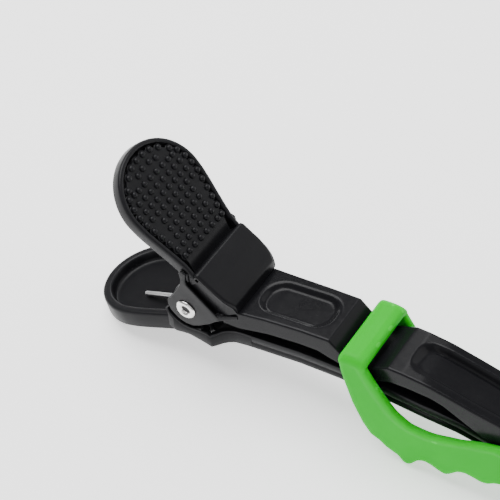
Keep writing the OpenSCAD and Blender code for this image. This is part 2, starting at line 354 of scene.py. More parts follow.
MAT_RIVET = metal("rivet_metal", (0.86, 0.85, 0.84), (0.74, 0.73, 0.72), 0.14, 0.26, (1.0, 6.0, 1.0), 1800.0)
MAT_WIRE = metal("spring_wire", (0.74, 0.74, 0.74), (0.60, 0.60, 0.61), 0.26, 0.42, (9.0, 9.0, 1.0), 1500.0)


def put(ob, mat):
    ob.data.materials.clear()
    ob.data.materials.append(mat)
    return ob


# ---------------------------------------------------------------- shared shapes
PAD_R, PAD_S = 10.8, 21.4
PAD_SIDE = [[PAD_S, 10.8], [19, 10.62], [17, 10.3], [14, 9.7], [11, 9.1], [8, 8.6]]


def pad_loop(front, inset=0.0, per=46):
    """Half outline of a paddle from the front edge round the end, as s, y with y >= 0, moved inward by inset; pad_shell
    mirrors it into a closed loop in x' = -s.
    """
    half = [[front, PAD_SIDE[-1][1]]] + PAD_SIDE[::-1]
    half = [[s, y] for s, y in half]
    arc = [[PAD_S + PAD_R * math.sin(a), PAD_R * math.cos(a)] for a in np.linspace(0.05, math.pi / 2, 28)]
    line = fillet(half + arc, 6.0, n=3)
    line = resample(line, count=per)
    t = np.gradient(line, axis=0)
    t /= np.linalg.norm(t, axis=1)[:, None]
    nrm = np.stack([t[:, 1], -t[:, 0]], 1)
    nrm[-1] = (-1, 0)
    nrm[0] = (0, -1)
    q = line + nrm * inset
    q[:, 1] = np.maximum(q[:, 1], 0)
    q[-1, 1] = 0
    return q


def pad_shell(B, rot_deg, shift, front, outer, inner, top_levels, floor_t, bottom_levels, under_t, ramp_fn=None, cross=14):
    """A paddle: levels are (inset, height) pairs from the wall's foot over the rim to the floor."""
    a = math.radians(rot_deg)
    R = np.array([[math.cos(a), 0, math.sin(a)], [0, 1, 0], [-math.sin(a), 0, math.cos(a)]])

    def place(q, y, t):
        P = np.stack([-q + shift, y, t], 1)
        return P @ R.T

    def ring(inset, h, floor=False):
        q = pad_loop(front, inset)
        hh = np.full(len(q), h)
        if floor and ramp_fn is not None:
            hh = hh + ramp_fn(q[:, 0])
        near = np.stack([q[:, 0], -q[:, 1], hh], 1)
        far = np.stack([q[::-1, 0], q[::-1, 1], hh[::-1]], 1)[1:]
        L = np.vstack([near, far])
        return place(L[:, 0], L[:, 1], L[:, 2]), q, hh

    rings, last = [], None
    for ins, h, fl in top_levels:
        r, q, hh = ring(ins, h, fl)
        rings.append(r)
        last = (q, hh)
    under = []
    for ins, h in bottom_levels:
        r, q2, hh2 = ring(ins, h)
        under.append(r)
        last_u = (q2, hh2)
    n = len(rings[0])
    V, F, base = [], [], 0
    allr = under[::-1] + rings          # open band from the inner underside to the floor's edge
    V = np.vstack(allr)
    for i in range(len(allr) - 1):
        for j in range(n - 1):
            F.append((i * n + j, i * n + j + 1, (i + 1) * n + j + 1, (i + 1) * n + j))
    # front closure
    B.add(V, F)
    off = B.n - len(V)

    def fill(qh, ring_index, flip):
        q, hh = qh
        m = len(q)
        rows = []
        for i in range(m):
            ys = np.linspace(-q[i, 1], q[i, 1], cross + 1)
            rows.append(place(np.full(cross + 1, q[i, 0]), ys, np.full(cross + 1, hh[i])))
        G = np.vstack(rows)
        FF = []
        for i in range(m - 1):
            for j in range(cross):
                f = (i * (cross + 1) + j, i * (cross + 1) + j + 1, (i + 1) * (cross + 1) + j + 1, (i + 1) * (cross + 1) + j)
                FF.append(f[::-1] if flip else f)
        B.add(G, FF)
        return rows[0]
    top_front = fill(last, len(allr) - 1, False)
    und_front = fill(last_u, 0, True)
    # front wall between floor and underside: stitch ring starts
    starts = [r[0] for r in allr]
    ends = [r[-1] for r in allr]
    loop = starts + list(top_front[1:-1]) + ends[::-1] + list(und_front[1:-1][::-1])
    B.add(np.array(loop), [tuple(range(len(loop)))])
    return place


def dome(B, place, s, y, t, r, h, n=14, m=5, skirt=0.25):
    """A grip bump: a dome with a small fillet at its foot."""
    prof = []
    for k in range(m + 1):
        a = math.pi / 2 * k / m
        prof.append((r * math.cos(a), h * math.sin(a)))
    prof = [(r + skirt, -0.12), (r + skirt * 0.45, 0.02)] + prof
    rings = []
    ang = np.linspace(0, 2 * math.pi, n, endpoint=False)
    for rr, hh in prof[:-1]:
        rings.append(place(s + rr * np.cos(ang), y + rr * np.sin(ang), np.full(n, t + hh)))
    top = place(np.array([s]), np.array([y]), np.array([t + prof[-1][1]]))
    V = np.vstack(rings + [top])
    F = []
    for i in range(len(rings) - 1):
        for j in range(n):
            k = (j + 1) % n
            F.append((i * n + j, i * n + k, (i + 1) * n + k, (i + 1) * n + j))
    a = (len(rings) - 1) * n
    for j in range(n):
        F.append((a + j, a + (j + 1) % n, len(V) - 1))
    F.append(tuple(range(n - 1, -1, -1)))
    B.add(V, F)


# ---------------------------------------------------------------- upper lever
RIM, WALL_H = 8.25, 2.8


def upper_ramp(s):
    """Drop of the grip floor towards the hood's rear step."""
    t = np.clip((9.0 - s) / 3.4, 0, 1)
    return -0.80 * t * t * (3 - 2 * t)


UL = Builder()
top = [(0.30, RIM - WALL_H, False), (0.10, RIM - WALL_H + 0.12, False), (0.02, RIM - WALL_H + 0.4, False), (0.0, RIM - 0.75, False),
       (0.03, RIM - 0.40, False), (0.16, RIM - 0.14, False), (0.40, RIM - 0.02, False), (0.62, RIM, False),
       (0.84, RIM - 0.03, False), (1.00, RIM - 0.16, False), (1.10, RIM - 0.60, True), (1.24, RIM - 1.0, True), (1.50, RIM - 1.12, True),
       (1.74, RIM - 0.98, True), (1.86, RIM - 0.6, True), (1.98, RIM - 0.42, True), (2.4, RIM - 0.42, True)]
bot = [(0.30, RIM - WALL_H), (0.55, RIM - WALL_H - 0.0), (1.15, RIM - WALL_H), (1.4, RIM - WALL_H + 0.1), (1.52, RIM - WALL_H + 0.35), (1.7, 6.45), (2.3, 6.62)]
place_u = pad_shell(UL, 48, 0.0, 5.25, None, None, top, None, bot, None, ramp_fn=upper_ramp)
FLOOR_U = RIM - 0.42
ROW = 1.96
SIDES = [6.6, 7.05, 7.55, 8.0, 8.45, 8.9, 9.0, 8.8, 8.2]
INNER = [0, 0, 0, 0, 0, 7.0, 7.0, 7.0, 6.55]
GRID = []
for i in range(9):
    for y in [1.03, 3.1, 5.05, SIDES[i]] + ([INNER[i]] if INNER[i] else []):
        GRID += [(9.7 + ROW * i, y), (9.7 + ROW * i, -y)]
ROUND = []
for s, y in [(26.7, 7.0), (28.45, 5.05), (29.4, 3.1), (29.75, 1.03), (27.4, 3.0), (27.8, 1.1)]:
    ROUND += [(s, y), (s, -y)]
for s, y in GRID + ROUND:
    dome(UL, place_u, s, y + 0.25, FLOOR_U, 0.66, 0.64)

# hood: a crowned plate swept down its own profile
hood_line = [[0.9, 8.6], [2.05, 9.5], [2.5, 10.3], [3.2, 10.42], [6.9, 7.92], [8.7, 6.45], [10.15, 5.2], [10.85, 4.3], [11.18, 2.5]]
HL = fillet(hood_line, [0, 0.5, 0.45, 0.5, 8, 4, 1.6, 1.0, 0], n=5)
HL = resample(HL, step=0.22)
tan = np.gradient(HL, axis=0)
tan /= np.linalg.norm(tan, axis=1)[:, None]
hn = np.stack([-tan[:, 1], tan[:, 0]], 1)          # outward normal of the profile
hood_w = [[0, 8.6], [3, 8.6], [7, 8.6], [8.7, 8.45], [9.7, 8.15], [10.5, 7.75], [11.25, 7.25]]
FOLD = 0.7
rings = []
for (x, z), n in zip(HL, hn):
    hw = interp([x], hood_w)[0]
    prof = [(-hw, -1.5), (-hw, -1.0)]
    for a in np.linspace(0, math.pi / 2, 9):
        prof.append((-hw + FOLD * (1 - math.cos(a)), -0.10 - FOLD * (1 - math.sin(a))))
    for q in np.linspace(-1, 1, 25)[1:-1]:
        y = q * (hw - FOLD)
        prof.append((y, -0.10 + 0.05 * (1 - q * q)))
    for a in np.linspace(math.pi / 2, 0, 9):
        prof.append((hw - FOLD * (1 - math.cos(a)), -0.10 - FOLD * (1 - math.sin(a))))
    prof += [(hw, -1.0), (hw, -1.5), (hw * 0.6, -1.75), (-hw * 0.6, -1.75)]
    rings.append([[x + n[0] * h, y, z + n[1] * h] for y, h in prof])
UL.loft(rings)

# side walls under the hood's folds, which stand in the ears' grooves
top_l = resample(fillet([[2.2, 9.2], [2.75, 9.8], [3.25, 9.8], [6.6, 7.35], [8.5, 5.85], [9.9, 4.65], [10.6, 3.8], [10.95, 2.8]], 0.6, n=4), count=64)
foot_l = resample(fillet([[-0.4, 7.3], [0.5, 5.7], [3.0, 3.4], [6.4, 0.75], [7.9, 1.0], [8.6, 1.5], [10.95, 2.3]], 0.5, n=4), count=64)
for sg in (-1, 1):
    rings = []
    for a, b in zip(top_l, foot_l):
        y0 = interp([a[0]], hood_w)[0]
        y1 = np.interp(b[0], [0, 7.8, 8.8, 9.8, 10.95], [8.2, 8.1, 8.0, 7.75, 7.25])
        L = []
        for q in np.linspace(0, 1, 9):
            p = a + (b - a) * q
            L.append([p[0], sg * (y0 + (y1 - y0) * q), p[1]])
        for q in np.linspace(1, 0, 5):
            p = a + (b - a) * q
            L.append([p[0], sg * (y0 + (y1 - y0) * q - 0.55), p[1]])
        rings.append(L)
    UL.loft(rings)

ear = [[-4.55, 0.7], [-3.75, 1.4], [-2.7, 3.1], [-1.7, 4.9], [-0.85, 6.6], [-0.5, 8.2], [-0.75, 10.0], [-0.2, 10.9], [1.0, 10.4], [0.74, 8.9], [0.66, 7.9], [0.95, 7.3], [1.5, 6.8],
       [3.9, 4.62], [6.7, 2.1], [7.35, 1.5], [7.75, 1.3], [7.75, 0.2], [7.3, 0.0], [5.2, -1.9], [2.9, -3.55], [1.2, -4.45], [-0.6, -4.6], [-2.5, -3.85], [-4.1, -2.1], [-4.6, -0.6]]
ear = resample(fillet(ear, [1.0, 1, 1.2, 1.2, 1.2, 1.0, 0.5, 0.5, 0.3, 0.6, 0.6, 0.6, 0.8, 2, 0.8, 0.4, 0, 0, 0.4, 2, 2, 2, 2, 2, 2, 2], closed=True, n=4), step=0.3, closed=True)
inner = [[-4.45, 0.7], [-2.6, 3.1], [-0.8, 6.6], [-0.35, 7.1], [0.35, 6.15], [2.9, 3.8], [6.3, 0.75], [7.7, 0.85], [7.7, 0.2], [7.2, 0.0], [5.2, -1.85], [2.9, -3.5], [1.2, -4.4], [-0.6, -4.55],
         [-2.5, -3.8], [-4.05, -2.1], [-4.5, -0.6]]
inner = resample(fillet(inner, 0.6, closed=True, n=4), step=0.35, closed=True)
for sg in (-1, 1):
    UL.loft([r * np.array([1, sg, 1]) for r in plate(ear, 8.82, 9.3, edge=0.2, seg=4)])
    UL.loft([r * np.array([1, sg, 1]) for r in plate(inner, 7.82, 9.0, edge=0.1, seg=2)])
    # low strip in front of the ear, drawn in to the jaw's side
    rings = []
    for x in np.concatenate([np.linspace(6.9, 7.6, 6), np.linspace(7.8, 10.9, 18)]):
        yo = float(np.interp(x, [7.0, 7.7, 8.6, 9.6, 10.9], [9.28, 9.16, 8.62, 8.0, 7.28]))
        zt, zb = float(np.interp(x, [7.0, 10.9], [1.5, 1.35])), float(np.interp(x, [7.0, 7.8, 10.9], [0.0, 0.2, 0.35]))
        L = [(yo - 0.22, zb), (yo - 0.05, zb + 0.07), (yo, zb + 0.24), (yo, zt - 0.24), (yo - 0.06, zt - 0.06), (yo - 0.24, zt), (yo - 1.5, zt), (yo - 1.5, zb)]
        rings.append([[x, sg * y, z] for y, z in L])
    UL.loft(rings)
    # rolled lips where the groove begins below the rim, and where it ends at the hood's foot
    for path, rad in (([[1.15, 10.4, 8.78], [0.98, 9.6, 8.76], [0.95, 8.6, 8.7], [1.1, 7.8, 8.6]], 0.28),
                      ([[1.85, 9.7, 8.45], [1.62, 9.1, 8.42], [1.55, 8.2, 8.36], [1.8, 7.5, 8.25]], 0.30),
                      ([[7.15, 1.15, 8.7], [7.6, 1.42, 8.55], [8.1, 1.62, 8.3], [8.35, 1.6, 8.05]], 0.24)):
        P = resample(np.array([[p[0], p[2], p[1]] for p in path]), count=14)
        T_ = np.gradient(P, axis=0)
        T_ /= np.linalg.norm(T_, axis=1)[:, None]
        rings = []
        for k, (p, t) in enumerate(zip(P, T_)):
            u = np.cross(t, [0, 1.0, 0])
            u /= np.linalg.norm(u)
            w = np.cross(t, u)
            f = rad * math.sqrt(max(0.04, 1 - (2 * k / (len(P) - 1) - 1) ** 4))
            rings.append([(p + f * (math.cos(q) * u + math.sin(q) * w)) * np.array([1, sg, 1]) for q in np.linspace(0, 2 * math.pi, 12, endpoint=False)])
        UL.loft(rings)
upper_lever = UL.mesh("upper_lever_moulded")
finish_shape(upper_lever, angle=42)
put(upper_lever, MAT_LEVER)
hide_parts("upper_lever")
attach(upper_lever, "upper_half")

# ---------------------------------------------------------------- upper jaw
jt = [[7.4, 1.95], [11.5, 2.4], [17, 3.15], [25, 4.05], [31.4, 4.5], [35.4, 0.75], [36.4, 0.42], [38.4, 0.5], [44.2, 3.25], [47, 3.25],
      [52, 2.8], [57, 1.75], [62, 0.6], [68, -0.75], [74, -2.4], [80, -4.9], [84, -7.1], [86.6, -9.0], [87.9, -10.9]]
jl = [[7.4, -2.15], [10.7, -2.15], [17.9, -0.6], [24.8, 0.2], [28.9, 0.4], [31.5, -0.4], [32.9, -0.7], [37, -2.45], [41, -2.0], [44.7, -0.4], [48.6, -0.25], [53.3, -0.45],
      [56, -1.2], [61.8, -4.35], [66.6, -7.1], [76, -9.6], [83, -11.2], [86.4, -12.1], [87.9, -11.9]]
JT = fillet(jt, [0, 20, 30, 20, 0.7, 1.6, 1.0, 1.6, 0.9, 8, 20, 20, 20, 20, 20, 12, 8, 4, 0], n=6)
JLo = fillet(jl, [0, 3, 10, 10, 3, 2, 3, 3, 4, 3, 10, 6, 4, 10, 6, 10, 6, 2, 0], n=5)
jw = [[7.4, 7.15], [11.5, 7.05], [17, 6.72], [25, 6.48], [31.4, 6.38], [44, 6.08], [52, 5.98], [62, 5.88], [72, 5.48], [80, 4.88], [85, 3.88], [87.2, 2.4], [87.9, 1.3]]
xs = np.unique(np.round(np.concatenate([np.arange(7.4, 87.9, 0.42), JT[:, 0], [87.88]]), 3))
xs = xs[(xs >= 7.4) & (xs <= 87.9)]
keep = [0]
for i in range(1, len(xs)):
    if xs[i] - xs[keep[-1]] > 0.07:
        keep.append(i)
xs = xs[keep]


def sstep(t):
    t = np.clip(t, 0, 1)
    return t * t * (3 - 2 * t)


def rounded_rect_sd(x, y, cx, cy, hx, hy, r):
    qx, qy = np.abs(x - cx) - (hx - r), np.abs(y - cy) - (hy - r)
    return np.hypot(np.maximum(qx, 0), np.maximum(qy, 0)) + np.minimum(np.maximum(qx, qy), 0) - r


def recess(x, y):
    """Depth of the two hollows in the jaw's top."""
    d = 0.0
    a = -rounded_rect_sd(x, y, 21.3, 0.0, 8.7, 4.8, 4.3)
    d = d + 0.95 * sstep(a / 1.6)
    front_hw = np.interp(x, [46, 62, 76, 84], [4.25, 4.15, 3.6, 2.2])
    ex = np.minimum(x - 46.6, 82.5 - x)
    ey = front_hw - np.abs(y)
    b = np.where((ex < 3.4) & (ey < 3.4), 3.4 - np.hypot(np.maximum(3.4 - ex, 0), np.maximum(3.4 - ey, 0)), np.minimum(ex, ey))
    # the floor falls away from the near side to a narrow channel under the far wall
    slope = 0.40 + 0.75 * sstep((y + front_hw) / (2 * front_hw))
    wall_w = np.interp(x, [46.6, 52.0, 84], [2.4, 1.1, 1.1])
    d = d + 1.05 * sstep(b / wall_w) * slope
    channel = np.exp(-((front_hw - 1.05 - y) / 0.42) ** 2) * sstep((x - 48.6) / 1.6) * sstep((81.5 - x) / 3.0)
    d = d + 0.32 * channel
    return d


UJ = Builder()
rings = []
NT = 61
for x in xs:
    zt = np.interp(x, JT[:, 0], JT[:, 1])
    zb = np.interp(x, JLo[:, 0], JLo[:, 1])
    hw = interp([x], jw)[0]
    r = min(0.45, 0.3 * (zt - zb), 0.5 * hw)
    L = []
    # near wall up, over the top, far wall down, then back along the inside
    wall = np.linspace(0, 1, 7)[:-1]
    for k in wall:
        z = zb + 0.12 + (zt - r - zb - 0.12) * k
        L.append((-hw - 0.10 * (1 - k), z))
    for a in np.linspace(0, math.pi / 2, 7)[:-1]:
        L.append((-hw + r * (1 - math.cos(a)), zt - r + r * math.sin(a)))
    ys = np.linspace(-hw + r, hw - r, NT)
    dz = recess(np.full(NT, x), ys)
    L += [(y, zt - q) for y, q in zip(ys, dz)]
    for a in np.linspace(math.pi / 2, 0, 7)[1:]:
        L.append((hw - r * (1 - math.cos(a)), zt - r + r * math.sin(a)))
    for k in wall[::-1]:
        z = zb + 0.12 + (zt - r - zb - 0.12) * k
        L.append((hw + 0.10 * (1 - k), z))
    ti = 1.35
    ztu = max(zt - 2.3 if x > 46 and x < 83 else zt - 2.15, zb + 0.10)
    inn = max(hw - ti, 0.35)
    L += [(hw - 0.3, zb), (inn + 0.2, zb), (inn, zb + 0.15), (inn, min(ztu, zb + 1.0) if ztu > zb + 0.2 else zb + 0.18), (inn - 0.15, ztu)]
    L += [(inn * 0.5, ztu), (0, ztu), (-inn * 0.5, ztu)]
    L += [(-inn + 0.15, ztu), (-inn, min(ztu, zb + 1.0) if ztu > zb + 0.2 else zb + 0.18), (-inn, zb + 0.15), (-inn - 0.2, zb), (-hw + 0.3, zb)]
    rings.append([[x, y, z] for y, z in L])
UJ.loft(rings)
cheek = [[-4.0, 0], [-2.8, 2.85], [-0.6, 3.95], [3, 2.9], [6, 2.1], [8.6, 1.9], [8.6, -2.1], [5, -2.5], [2.6, -3.1], [0, -4.0], [-2.8, -2.85]]
cheek = resample(fillet(cheek, 1.4, closed=True, n=4), step=0.4, closed=True)
for sg in (-1, 1):
    UJ.loft([r * np.array([1, sg, 1]) for r in plate(cheek, 4.38, 5.8, edge=0.15, seg=2)])
    UJ.loft([r * np.array([1, sg, 1]) for r in plate(resample(np.array([[7.2, 1.8], [8.9, 1.9], [8.9, -2.05], [7.2, -2.05]]), step=0.5, closed=True), 4.38, 7.0, edge=0.12, seg=2)])
for x in np.arange(67.5, 82, 3.0):
    k = x - 67.5
    tooth = [[x - 1.4, -1.2 - k * .35], [x + 1.4, -2.1 - k * .35], [x + 1.2, -3.3 - k * .35], [x + 0.1, -5.4 - k * .32], [x - 1.2, -2.6 - k * .35]]
    hwt = interp([x], [[66, 4.3], [72, 3.9], [80, 3.3], [85, 2.3]])[0]
    UJ.loft(plate(resample(fillet(tooth, 0.25, closed=True, n=3), step=0.35, closed=True), -hwt, hwt, edge=0.12, seg=2))
upper_jaw = UJ.mesh("upper_jaw_shell")
finish_shape(upper_jaw, angle=50)
put(upper_jaw, MAT_JAW)
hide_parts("upper_jaw")
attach(upper_jaw, "upper_half")

# ---------------------------------------------------------------- lower jaw
LJ = Builder()
LRIM, LWALL, LSHIFT = -3.4, 4.1, 4.2
ltop = [(0.28, LRIM - LWALL, False), (0.08, LRIM - LWALL + 0.12, False), (0.0, LRIM - LWALL + 0.4, False), (0.0, LRIM - 0.7, False), (0.06, LRIM - 0.3, False),
        (0.25, LRIM - 0.06, False), (0.55, LRIM, False), (1.45, LRIM - 0.02, False), (1.75, LRIM - 0.12, False), (1.95, LRIM - 0.45, False), (2.1, LRIM - 1.6, False),
        (2.25, LRIM - 2.05, False), (2.6, LRIM - 2.28, False), (3.2, LRIM - 2.3, False)]
lbot = [(0.28, LRIM - LWALL), (0.7, LRIM - LWALL), (1.5, LRIM - LWALL), (2.5, LRIM - LWALL)]
place_l = pad_shell(LJ, -14, LSHIFT, 7.45, None, None, ltop, None, lbot, None)
for s, y in GRID:
    dome(LJ, lambda q, yy, t: place_l(q, yy, 2 * (LRIM - LWALL) - t), s, y, LRIM - LWALL, 0.62, 0.44)

low_top = [[8.6, -5.2], [12.7, -4.4], [24.4, -3.1], [33, -2.9], [43, -3.5], [53, -5.0], [60, -6.8], [66, -8.6], [74, -10.6], [84.5, -12.5]]
low_bot = [[8.6, -8.45], [12.4, -7.9], [24.2, -6.5], [34, -6.1], [43, -7.0], [52.6, -8.7], [62, -10.7], [68, -12.1], [74, -13.2], [80, -13.55], [84.5, -13.25]]
low_w = [[8.0, 6.38], [12, 6.2], [34, 6.0], [44, 5.7], [52, 5.1], [58, 4.35], [66, 4.1], [72, 3.8], [80, 3.2], [83.5, 2.5], [84.5, 1.6]]
LT, LB_ = fillet(low_top, 12, n=5), fillet(low_bot, 12, n=5)
rings = []
for x in np.arange(8.6, 84.51, 0.55):
    zt = np.interp(x, LT[:, 0], LT[:, 1])
    zb = np.interp(x, LB_[:, 0], LB_[:, 1])
    hw = interp([x], low_w)[0]
    h = zt - zb
    inn = max(hw - 1.5, 0.4)
    ch = zt - max(1.35, 0.0) if 11 < x < 64 else zb + 0.04
    ch = max(min(ch, zt - 1.0), zb + 0.03)
    half = [(hw - 0.35, zb), (hw - 0.08, zb + 0.10), (hw, zb + 0.3), (hw, zb + 0.36 * h), (hw - 0.16, zb + 0.42 * h), (hw - 0.16, zb + 0.47 * h), (hw - 0.02, zb + 0.53 * h),
            (hw - 0.02, zt - 0.35 if h > 1 else zt - 0.2), (hw - 0.12, zt - 0.1), (hw - 0.4, zt), (hw - 1.1, zt), (hw * 0.5, zt)]
    und = [(0.0, ch), (inn * 0.6, ch), (inn - 0.25, ch), (inn, ch - 0.25 if ch > zb + 0.4 else zb + 0.02), (inn, zb + 0.1 if ch > zb + 0.4 else zb + 0.01), (inn + 0.12, zb)]
    L = [(-y, z) for y, z in half] + [(0, zt)] + [(y, z) for y, z in half[::-1]]
    L += [(y, z) for y, z in und[::-1]] + [(-y, z) for y, z in und[1:]]
    rings.append([[x, y, z] for y, z in L])
LJ.loft(rings)
# wide cheeks with a round pocket for the upper lever's ears, drawn in along a hollow curve to the strip
plan_c = fillet([[-4.95, 9.3], [5.15, 9.3], [5.9, 8.6], [6.9, 7.5], [7.9, 6.85], [9.2, 6.45], [11.5, 6.28], [13.0, 6.22]], [0, 0.35, 1.5, 2.0, 2.5, 3.0, 3.0, 0], n=6)
plan_c = np.array([[p[0], p[1]] for p in plan_c])
bot_c = [[-4.95, -7.6], [-4.0, -8.3], [-3.3, -8.45], [-1.5, -8.05], [0, -7.85], [2.4, -8.25], [4.1, -8.65], [5.2, -8.95], [6.3, -8.85], [7.4, -8.65], [8.2, -8.45], [10.2, -7.95], [13.0, -7.6]]
top_c = [[-4.95, -2.35], [-4.5, -3.2], [-3.6, -4.15], [-2.6, -4.85], [-1.3, -5.35], [0, -5.5], [1.5, -5.3], [2.75, -5.15], [4.3, -5.2], [5.1, -5.6], [6.0, -5.25], [6.9, -4.95], [8.0, -4.8], [9.0, -4.62], [10.5, -4.4], [13.0, -4.25]]
BC = fillet(bot_c, 0.8, n=4)
TC = fillet(top_c, 0.5, n=4)
PC = resample(plan_c, step=0.16)
tc = np.gradient(PC, axis=0)
tc /= np.linalg.norm(tc, axis=1)[:, None]
nc = np.stack([-tc[:, 1], tc[:, 0]], 1)          # outward, away from the middle plane
for sg in (-1, 1):
    rings = []
    for (x, y), n in zip(PC, nc):
        zb, zt = float(np.interp(x, BC[:, 0], BC[:, 1])), float(np.interp(x, TC[:, 0], TC[:, 1]))
        ledge = float(np.interp(x, [-4.9, 3.6, 4.4, 13], [1.72, 1.72, 1.0, 1.0]))      # wall thickness behind the lip
        L = []
        for off, z in [(0.55, zb + 0.02), (0.28, zb), (0.07, zb + 0.12), (0.0, zb + 0.35), (0.0, zt - 0.86), (0.10, zt - 0.70), (0.14, zt - 0.56), (0.10, zt - 0.46), (0.0, zt - 0.36), (0.0, zt - 0.2),
                       (0.07, zt - 0.06), (0.24, zt), (0.5, zt), (ledge, zt - 0.02), (ledge + 0.12, zt - 0.3), (ledge + 0.12, zb + 0.4)]:
            # heights that fold over each other on a low wall are kept in order
            z = min(max(z, zb), zt)
            L.append([x - n[0] * off, sg * (y - n[1] * off), z])
        rings.append(L)
    LJ.loft(rings)
    # the pocket's shallow second step
    rings = []
    for a in np.radians(np.linspace(206, 300, 34)):
        rr = []
        for rad, yy in ((5.52, 8.2), (5.52, 8.95), (5.7, 9.08), (5.95, 9.12), (6.15, 9.2), (6.2, 8.2)):
            rr.append([rad * math.cos(a), sg * yy, rad * math.sin(a)])
        rings.append(rr)
    LJ.loft(rings)
ear_l = [[-4.5, 0.3], [-4.85, -3], [-4.6, -7.5], [3.9, -7.5], [4.1, -3.0], [4.45, 0.3], [3.2, 3.2], [0, 4.5], [-3.2, 3.2]]
ear_l = resample(fillet(ear_l, [0.5, 0.5, 0.8, 0.8, 0.5, 1.5, 2.2, 2.6, 2.2], closed=True, n=5), step=0.4, closed=True)
for sg in (-1, 1):
    LJ.loft([r * np.array([1, sg, 1]) for r in plate(ear_l, 6.07, 7.5, edge=0.2, seg=3)])
# floor that joins the two cheeks to the paddle and the jaw strip
fl = [[-5.6, -7.2], [-3, -7.35], [4.5, -7.35], [8.4, -6.35], [11.2, -5.4], [11.4, -7.9], [8.4, -8.3], [5.4, -8.9], [2.2, -8.6], [-0.2, -8.4], [-3.6, -8.55], [-5.9, -8.9]]
fl = resample(fillet(fl, 0.4, closed=True, n=3), step=0.4, closed=True)
LJ.loft(plate(fl, -6.1, 6.1, edge=0.1, seg=1))
for x in np.arange(66, 81, 3.0):
    k = x - 66
    tooth = [[x - 1.4, -8.9 - k * .27], [x + 1.4, -9.4 - k * .25], [x, -7.3 - k * .27]]
    hwt = interp([x], [[64, 3.8], [72, 3.5], [80, 2.9], [84, 1.9]])[0]
    LJ.loft(plate(resample(fillet(tooth, 0.2, closed=True, n=3), step=0.35, closed=True), -hwt, hwt, edge=0.1, seg=2))
lower_jaw = LJ.mesh("lower_jaw_moulded")
finish_shape(lower_jaw, angle=42)
put(lower_jaw, MAT_LEVER)
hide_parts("lower_jaw")
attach(lower_jaw, "lower_half")

# ---------------------------------------------------------------- rivet
RV = Builder()
EY = 9.32
head = [[0.9, EY - 0.2], [0.92, EY + 0.04], [1.02, EY + 0.24], [1.2, EY + 0.42], [1.42, EY + 0.55], [1.66, EY + 0.60], [1.9, EY + 0.53], [2.1, EY + 0.38], [2.22, EY + 0.18], [2.24, EY + 0.06], [2.18, EY + 0.01], [1.55, EY]]
prof = [p for p in head] + [[r, -y] for r, y in head[::-1]]
prof = resample(fillet(prof, 0.12, closed=True, n=3), step=0.09, closed=True)
na = 56
rings = []
for a in np.linspace(0, 2 * math.pi, na, endpoint=False):
    wob = 1 + 0.006 * math.sin(3 * a + 0.7) + 0.004 * math.sin(5 * a)
    rings.append([[r * (wob if r > 1.6 else 1) * math.cos(a), y, r * (wob if r > 1.6 else 1) * math.sin(a)] for r, y in prof])
RV.loft(rings, cap=False, closed_u=True)
rivet = RV.mesh("rivet_rolled")
finish_shape(rivet)
put(rivet, MAT_RIVET)
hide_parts("pivot_rivet")
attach(rivet, "upper_half")

# ---------------------------------------------------------------- torsion spring
pts = []
low_end, low_start = np.array([-15.0, -3.2, -8.9]), np.array([1.02, -3.2, -2.55])
up_start, up_end = np.array([2.42, 3.2, 1.31]), np.array([-4.2, 3.2, 13.55])
pts += [low_end + (low_start - low_end) * t for t in np.linspace(0, 1, 24)]
a0 = math.atan2(-2.55, 1.02)
a1 = math.atan2(1.31, 2.42) + 2 * math.pi * 5
for t in np.linspace(0, 1, 250)[1:-1]:
    a = a0 + (a1 - a0) * t
    rr_ = 2.75
    pts.append(np.array([rr_ * math.cos(a), -3.2 + 6.4 * t, rr_ * math.sin(a)]))
pts += [up_start + (up_end - up_start) * t for t in np.linspace(0, 1, 24)]
W = resample(np.array(pts), step=0.3)
T = np.gradient(W, axis=0)
T /= np.linalg.norm(T, axis=1)[:, None]
SP = Builder()
rings = []
side_v = np.array([0.0, 1.0, 0.0])
for p, t in zip(W, T):
    side_v = side_v - t * (side_v @ t)
    side_v /= np.linalg.norm(side_v)
    up_v = np.cross(t, side_v)
    rings.append([p + 0.55 * (math.cos(a) * side_v + math.sin(a) * up_v) for a in np.linspace(0, 2 * math.pi, 14, endpoint=False)])
first, lastr = np.array(rings[0]), np.array(rings[-1])
c0, c1 = first.mean(0), lastr.mean(0)
rings = [c0 + (first - c0) * 0.72 - T[0] * 0.13, c0 + (first - c0) * 0.92 - T[0] * 0.07] + rings + [c1 + (lastr - c1) * 0.92 + T[-1] * 0.07, c1 + (lastr - c1) * 0.72 + T[-1] * 0.13]
SP.loft(rings)
spring = SP.mesh("spring_wire")
finish_shape(spring)
put(spring, MAT_WIRE)
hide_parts("torsion_spring")
s0, s1 = to_row([0, -3.2, 0])[0], to_row([0, 3.2, 0])[0]
tuple(s0)
tuple(s1)
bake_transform(spring)

# ---------------------------------------------------------------- silicone band
outer = [[34.75, 2.9], [35.0, 0.6], [35.8, -2.6], [37.4, -8.1], [39.6, -13.1], [41.3, -15.6], [43.2, -16.4], [44.7, -17.6], [46.1, -18.2],
         [47.4, -18.7], [48.4, -20.0], [49.4, -20.35], [50.4, -19.6], [51.6, -17.9], [53, -17.25], [54.4, -17.6], [56.2, -18.6], [57.6, -19.0], [58.8, -18.0],
         [60, -16.7], [61.6, -16.25], [63.2, -16.6], [65.0, -17.2], [66.4, -16.9], [67.6, -16.0], [69.6, -15.4], [72, -15.6], [74, -15.8], [76, -15.2], [79, -14.85], [84.2, -14.75]]
inner_ = [[40.6, 2.9], [42.2, 0.2], [44.4, -3.1], [47, -6.4], [50.2, -8.4], [54.5, -8.8], [60.6, -7.4], [64.5, -6.0], [68.4, -5.05], [74, -5.95], [78.5, -7.4], [82, -9.6], [85.1, -13.3]]
OUT = resample(fillet(outer, 1.1, n=5), count=330)
INN = resample(fillet(inner_, 5.0, n=6), count=330)
